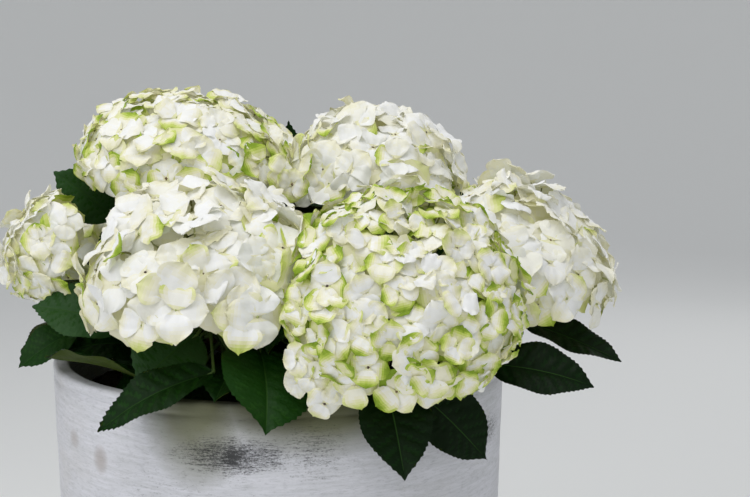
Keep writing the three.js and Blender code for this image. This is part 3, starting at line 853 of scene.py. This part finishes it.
def leaf_sheets(base, tip, face, width, arch, fold, teeth, bite, rng):
    """Upper and lower grid of a toothed, folded and quilted blade, and its vein points."""
    along = tip - base
    length = np.linalg.norm(along)
    along = along / length
    side = unit(np.cross(along, face))
    up = np.cross(side, along)
    rows = 2 * teeth + 1
    t = np.linspace(0, 1, rows)[:, None]
    v = np.array([-s for s in LEAF_SHARES[:0:-1]] + LEAF_SHARES)[None, :]

    # Outline with a tooth on every second row
    tooth = (np.where(np.arange(rows) % 2 == 1, 1.0, 0.0) * rng.uniform(0.5, 1.3, rows))[:, None]
    tooth = tooth * smooth_step(0.04, 0.16, t) * smooth_step(1.0, 0.95, t)
    edge = np.abs(v) ** 6
    half = (width / 2) * leaf_outline(t)
    y = half * v + np.sign(v) * edge * tooth * (bite * length)
    ahead = edge * tooth * (BITE_AHEAD * bite * length)

    # Quilting between the side veins, on an arched and folded blade
    apart = np.abs(y)
    spacing = length * VEIN_SPACING
    vein = (t * length - apart * VEIN_SLANT) / spacing
    quilt = np.abs(np.sin(pi * vein)) ** 0.7
    relief = QUILT * length * (quilt - 0.5) * (1 - np.exp(-((apart / 6) ** 2))) * (1 - edge)
    z = arch * 4 * t * (1 - t) + fold * apart
    z = z - 0.9 * np.exp(-((apart / 2.4) ** 2)) * smooth_step(1.0, 0.8, t)
    sway = rng.uniform(0, ANY_TURN)
    wavy = np.sin(2 * pi * 2.3 * t + sway + np.sign(v) * 0.8)
    z = z + WAVY * length * wavy * np.abs(v) ** 3
    z = z - rng.uniform(0, 0.05) * length * t**4

    top = base + (length * t + ahead)[..., None] * along + y[..., None] * side + z[..., None] * up
    thick = BLADE_THICK[0] + BLADE_THICK[1] * length
    under = top - (thick * (1 - edge) * (1 - t**8))[..., None] * up
    top = top + relief[..., None] * up
    on_vein = np.abs(vein - np.round(vein)) < VEIN_WIDTH
    return top, under, on_vein & (apart > 1.5) & (np.abs(v) < 0.9)


def add_leaf(blades, stalks, leaf, tone, rng):
    """A blade with its veins in the next tone, and its stalk."""
    start, base, tip, face, width, arch, fold = leaf
    teeth = int(np.clip(np.linalg.norm(tip - base) / TOOTH_SPACING, *TEETH))
    bite = BITE if tone else FINE_BITE
    top, under, veins = leaf_sheets(base, tip, face, width, arch, fold, teeth, bite, rng)
    middle = (top.shape[1] - 1) // 2
    vein_tone = tone + 1 if tone < PALEST else PALEST - 1
    crossed = veins[1:, 1:] & veins[:-1, :-1] | veins[1:, :-1] & veins[:-1, 1:]
    slots = np.where(crossed, vein_tone, tone)
    slots[: int(MIDRIB_SHARE * len(slots)), middle - 1 : middle + 1] = MIDRIB
    blades.sheet(top[:, ::-1], slots[:, ::-1])
    blades.sheet(under[::2], UNDERSIDE)
    run = base - start
    sag = UP * (0.05 * np.linalg.norm(run))
    places = [start, start + run * 0.33 + sag, start + run * 0.7 + sag * 0.6]
    places += [base, base + unit(tip - base) * 7]
    stalks.tube(places, [1.9, 1.55, 1.4, 1.5, 0.7], 6, GREEN_STALK)


def set_leaf(shoot, entry):
    """A leaf from its table, on the nearest place of its shoot."""
    _, base, tip, width, face, bow, tone = entry
    base, tip = np.array(base, float), np.array(tip, float)
    steps = [CANE_SHARE + 0.05 + 0.02 * k for k in range(25)]
    start = min((shoot.curve.point(s) for s in steps), key=lambda p: np.linalg.norm(p - base))
    arch = np.linalg.norm(tip - base) * bow
    return start, base, tip, np.array(face, float), width, arch, SET_FOLD, tone


def leaf_face(across, drop):
    """Way the upper face of a leaf looks, turned outward as it drops."""
    return UP + across * (0.3 + drop * 0.5)


def grown_leaves(shoot, solid):
    """Leaves in opposite pairs by the source's rule, each as the solid holds it."""
    for pair, t in enumerate(NODES):
        draw = random_from(SEED + 977 * shoot.index + 31 * pair)
        node, along = shoot.curve.point(t), shoot.curve.tangent(t)
        u, v, _ = axes_along(along)
        turn = shoot.outward(u, v) + (0 if pair % 2 else pi / 2)
        for half in (0, pi):
            draws = [draw() for _ in range(4)]
            for size, swing, drop in TRIES:
                a = turn + half + swing + 0.4 * (draws[3] - 0.5)
                across = heading(u, v, a)
                length = (100 + 26 * draws[0]) * size
                aim = across + along * 0.3
                aim = unit(aim - UP * (drop + 0.12 * draws[1]))
                base = node + across * (15 + 9 * draws[2]) + UP * 4
                tip = base + aim * length
                if solid.find(Vector(tip))[2] > SAME_CORNER:
                    continue
                width, arch = length * (0.66 + 0.1 * draws[2]), length * 0.08
                yield node, base, tip, leaf_face(across, drop), width, arch, GROWN_FOLD, None
                break


def clears_pot(base, tip, face, width):
    """Whether a blade keeps off soil, rim and wall of the pot."""
    side = unit(np.cross(tip - base, face)) * width / 2
    for t in np.linspace(0.1, 1, 7):
        spread = 1 - abs(2 * t - 1) ** 1.5
        for place in (base + (tip - base) * t + side * (s * spread) for s in (-1, 0, 1)):
            past_wall = hypot(place[0], place[1]) > POT_RADIUS - POT_WALL - OFF_WALL
            low = POT_HEIGHT + OVER_RIM if past_wall else SOIL_TOP + OVER_SOIL
            if place[2] < low:
                return False
    return True


def young_leaves(shoot, rng):
    """Smaller leaves between the pairs, where the pot leaves room."""
    for pair, t in enumerate(YOUNG_NODES):
        node = shoot.curve.point(t)
        u, v, _ = axes_along(shoot.curve.tangent(t))
        turn = shoot.outward(u, v) + (pi / 2 if pair % 2 else 0)
        for half in (0, pi):
            a = turn + half + rng.uniform(-0.5, 0.5)
            length, reach = rng.uniform(52, 74), rng.uniform(8, 14)
            width, arch = length * 0.62, length * 0.07
            across = heading(u, v, a)
            base = node + across * reach + UP * 3
            for drop in YOUNG_DROPS:
                tip = base + unit(across - UP * drop) * length
                face = leaf_face(across, drop)
                if clears_pot(base, tip, face, width):
                    yield node, base, tip, face, width, arch, GROWN_FOLD, None
                    break


def corners_of(node):
    """Search tree of a solid's corners, in millimetres."""
    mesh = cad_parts[node].data
    places = np.empty(3 * len(mesh.vertices))
    mesh.vertices.foreach_get("co", places)
    tree = KDTree(len(mesh.vertices))
    for k, place in enumerate(places.reshape(-1, 3) / MM):
        tree.insert(place, k)
    tree.balance()
    return tree


def make_foliage(shoot, materials, stalks):
    """All leaves of a shoot, and its green stem swollen at the leaf pairs."""
    rng = np.random.RandomState(SEED + 7 * shoot.index)
    blades = Batch()
    solid = corners_of(f"leaves_{shoot.name}")
    leaves = [set_leaf(shoot, entry) for entry in SET_LEAVES if entry[0] == shoot.name]
    leaves += list(grown_leaves(shoot, solid))
    leaves += list(young_leaves(shoot, rng))
    for *leaf, tone in leaves:
        drawn = rng.choice(3, p=TONE_SHARES)
        add_leaf(blades, stalks, leaf, drawn if tone is None else tone, rng)
    t = np.linspace(CANE_SHARE, 1, 14)
    radii = SHOOT_BASE_R + (SHOOT_TIP_R - SHOOT_BASE_R) * (t - CANE_SHARE) / (1 - CANE_SHARE)
    for node in NODES:
        radii = radii + 0.5 * np.exp(-(((t - node) / 0.02) ** 2))
    stalks.tube([shoot.curve.point(s) for s in t], radii, 10, GREEN_STALK)
    piece = blades.build(f"blades_{shoot.name}", materials)
    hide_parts(f"leaves_{shoot.name}")


def bark_relief(rng):
    """Ridges along a limb and swellings at its knots."""
    a, b, c = rng.uniform(0, ANY_TURN, 3)

    def relief(i, turn):
        ridge = 0.5 * np.sin(3 * turn + a + 0.4 * i) + 0.3 * np.sin(7 * turn + b - 0.3 * i)
        rough = 0.35 * np.sin(13 * turn + c + 1.9 * i) + 0.35 * np.sin(2.1 * i + a)
        swell = 0.14 if i in CANE_KNOTS else 0.0
        return 1 + BARK_STRENGTH * (ridge + rough) + swell

    return relief


def make_wood():
    """Foot crown, stubs and canes with the relief of their bark."""
    wood = Batch()
    rng = np.random.RandomState(SEED + 5)
    for shoot in shoots:
        t = np.linspace(0, CANE_SHARE, 26)
        stub = shoot.start - shoot.root
        places = [shoot.root] + [shoot.root + stub * s for s in (0.25, 0.5, 0.75)]
        places += [shoot.curve.point(s) for s in t]
        radii = np.concatenate([
            [CANE_BASE_R + more for more in ROOT_FLARE],
            CANE_BASE_R + (CANE_TIP_R - CANE_BASE_R) * t / CANE_SHARE,
        ])
        wood.tube(places, radii * UNDER_RELIEF, 14, 0, bark_relief(rng))
    turn = turns(72)
    rings = []
    for k, (r, z) in enumerate(FOOT_PROFILE):
        lumps = 1 + 0.07 * np.sin(5 * turn + 1.1) + 0.05 * np.sin(11 * turn + 0.7 * k)
        lumps = lumps + 0.025 * np.sin(23 * turn - 1.3 * k)
        height = SOIL_TOP + GAP + FOOT_HEIGHT * z * (1 + 0.06 * np.sin(7 * turn + k))
        rings.append(revolved(FOOT_RADIUS * 0.95 * r * lumps, height, turn))
    wood.sheet(np.array(rings), 0, around=True)
    piece = wood.build("bark_wood", [bark_material()])
    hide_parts("stem_foot", *[f"cane_{shoot.name}" for shoot in shoots])


def make_soil():
    """Uneven top of the soil, strewn with crumbs."""
    earth = Batch()
    radius = np.linspace(2, SOIL_RADIUS, 30)[:, None]
    turn = turns(120)[None, :]
    x, y = radius * np.cos(turn), radius * np.sin(turn)
    level = SOIL_TOP - SOIL_MOUND * smooth_step(60, SOIL_RADIUS, radius) - 1.0
    level = level + 1.6 * ripples(x, y, 11, 12, 0.05, 0.4) + 0.8 * ripples(x, y, 12, 12, 0.4, 1.2)
    earth.sheet(revolved(radius, level, turn), 0, around=True)
    rng = np.random.RandomState(SEED + 9)
    corner = np.array([(-1, -1), (1, -1), (1, 1), (-1, 1)], float)
    for _ in range(1000):
        r, a = (SOIL_RADIUS - 5) * sqrt(rng.random_sample()), rng.uniform(0, ANY_TURN)
        size = rng.uniform(1.2, 3.4)
        u, v, w = axes_along(unit(rng.uniform(-1, 1, 3) + (0, 0, 0.4)))
        level = SOIL_TOP - SOIL_MOUND * r / SOIL_RADIUS
        centre = np.array([r * cos(a), r * sin(a), level])
        rings = []
        for lift, share in CRUMB_RINGS:
            ring = corner * share * rng.uniform(0.6, 1.1, (4, 2)) * size
            ring = centre + np.outer(ring[:, 0], u) + np.outer(ring[:, 1], v) * 0.7
            rings.append(ring + w * (lift * size * 0.6))
        earth.sheet(np.array(rings), 0, around=True)
    piece = earth.build("soil_crumbs", [soil_material()])
    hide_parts("soil")


def rounded(radius, height, size, start, end, count):
    """Places of a rounded edge about a centre, from one angle to the other."""
    return [
        (radius + size * cos(a), height + size * sin(a))
        for a in np.radians(np.linspace(start, end, count))
    ]


def make_pot():
    """Turned wall with a rounded lip, a scribed line under it and uneven paint."""
    walls = Batch()
    turn = turns(240)[None, :]
    slope = (POT_RADIUS - POT_FOOT) / POT_HEIGHT
    lip = POT_HEIGHT - RIM_ROUND
    inside = POT_RADIUS - POT_WALL
    profile = [(2, 0.0), (90, 0.0), (POT_FOOT - 8, 0.0)]
    profile += rounded(POT_FOOT - FOOT_ROUND, FOOT_ROUND, FOOT_ROUND, -90, 0, 6)
    profile += [(POT_FOOT + slope * z, z) for z in np.linspace(8, 362, 62)]
    profile += [(POT_FOOT + slope * z - depth, z) for z, depth in SCRIBED_LINE]
    profile += rounded(POT_RADIUS - RIM_ROUND, lip, RIM_ROUND, 0, 90, 7)
    profile += rounded(inside + RIM_ROUND, lip, RIM_ROUND, 90, 180, 6)
    inner = np.linspace(370, SOIL_TOP - 8, 6)
    profile += [(POT_FOOT + slope * z - POT_WALL, z) for z in inner]
    radius, height = (np.array(c)[:, None] for c in zip(*profile))
    uneven = smooth_step(6, 20, height)
    paint = 0.35 * ripples(turn * 6, height / 30, 21) + 0.12 * ripples(turn * 9, height / 2.3, 22)
    radius = radius + uneven * (paint - 0.3)
    walls.sheet(revolved(radius, height, turn), 0, around=True)
    piece = walls.build("pot_wall", [pot_material()])
    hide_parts("pot")


def make_stage():
    """Pale floor that curves up far away, on all sides."""
    floor = Batch()
    turn = turns(96)
    profile = [(1, 0), (900, 0), (FLOOR_FLAT, 0)] + [
        (FLOOR_FLAT + FLOOR_CURVE * sin(a), FLOOR_CURVE * (1 - cos(a)))
        for a in np.radians(np.arange(8, 84, 8))
    ]
    rings = [revolved(r, z - 0.4, turn) for r, z in profile]
    floor.sheet(np.array(rings), 0, around=True)
    made = Nodes("floor_pale", (240, 241, 240), 0.9)
    made.vary_roughness(made.noise(3, 2), 0.85, 0.95)
    stage = bpy.data.objects.new("floor", floor.mesh("floor", [made.material]))
    bpy.context.scene.collection.objects.link(stage)


def make_lights_and_camera():
    scene = bpy.context.scene
    for name, place, aim, size, power in LIGHTS:
        data = bpy.data.lights.new(name, "AREA")
        data.shape, data.size, data.energy = "DISK", size, power
        light = bpy.data.objects.new(name, data)
        light.location = place
        light.rotation_euler = (Vector(aim) - Vector(place)).to_track_quat("-Z", "Y").to_euler()
        scene.collection.objects.link(light)
    world = bpy.data.worlds.new("studio")
    world.use_nodes = True
    back = world.node_tree.nodes["Background"]
    back.inputs["Color"].default_value = (0.95, 0.97, 1, 1)
    back.inputs["Strength"].default_value = 0.42
    scene.world = world
    scene.view_settings.view_transform = "Standard"
    data = bpy.data.cameras.new("camera")
    data.lens, data.sensor_width = 71.76, 36
    data.clip_start, data.clip_end = 0.05, 50
    camera = bpy.data.objects.new("camera", data)
    camera.location = Vector(CAMERA_AT) * MM
    camera.rotation_euler = (radians(90 - CAMERA_PITCH), 0, radians(-CAMERA_YAW))
    scene.collection.objects.link(camera)
    scene.camera = camera


def sepal_materials():
    """The ramp with finer steps between its colours, one plain colour for each."""
    shades = (np.arange(SHADES * len(SEPAL_RAMP)) + 0.5) / SHADES - 0.5
    ramp = [np.interp(shades, range(len(SEPAL_RAMP)), part) for part in zip(*SEPAL_RAMP)]
    return [sepal_material(k, colour) for k, colour in enumerate(np.array(ramp).T.tolist())]


def leaf_materials():
    greens = [leaf_material(f"leaf_green_{k}", c, 0.46) for k, c in enumerate(LEAF_GREENS)]
    greens.append(leaf_material("leaf_vein", (42, 76, 26), 0.5))
    greens.append(leaf_material("leaf_under", (56, 70, 20), 0.66, 0.08))
    return greens


shoots = [
    Shoot(name, k, spec[0], spec[3], spec[4]) for k, (name, spec) in enumerate(SHOOTS.items())
]
shoots += [Shoot(name, len(SHOOTS) + k, *spec) for k, (name, spec) in enumerate(SPROUTS.items())]
flowering = [shoot for shoot in shoots if shoot.flowers]

make_lights_and_camera()
make_stage()
sepals, greens = sepal_materials(), leaf_materials()
make_pot()
make_soil()
make_wood()
buds, stalks = Batch(), Batch()
for shoot in flowering:
    make_head(shoot, sepals, buds, stalks)
for shoot in shoots:
    make_foliage(shoot, greens, stalks)
bud_piece = buds.build("bloom_buds", [
    stalk_material(f"bud_{k}", colour, 0.6) for k, colour in enumerate(BUD_COLOURS)
])
stalk_piece = stalks.build("green_stalks", [stalk_material(*entry) for entry in STALK_COLOURS])

bpy.context.view_layer.update()
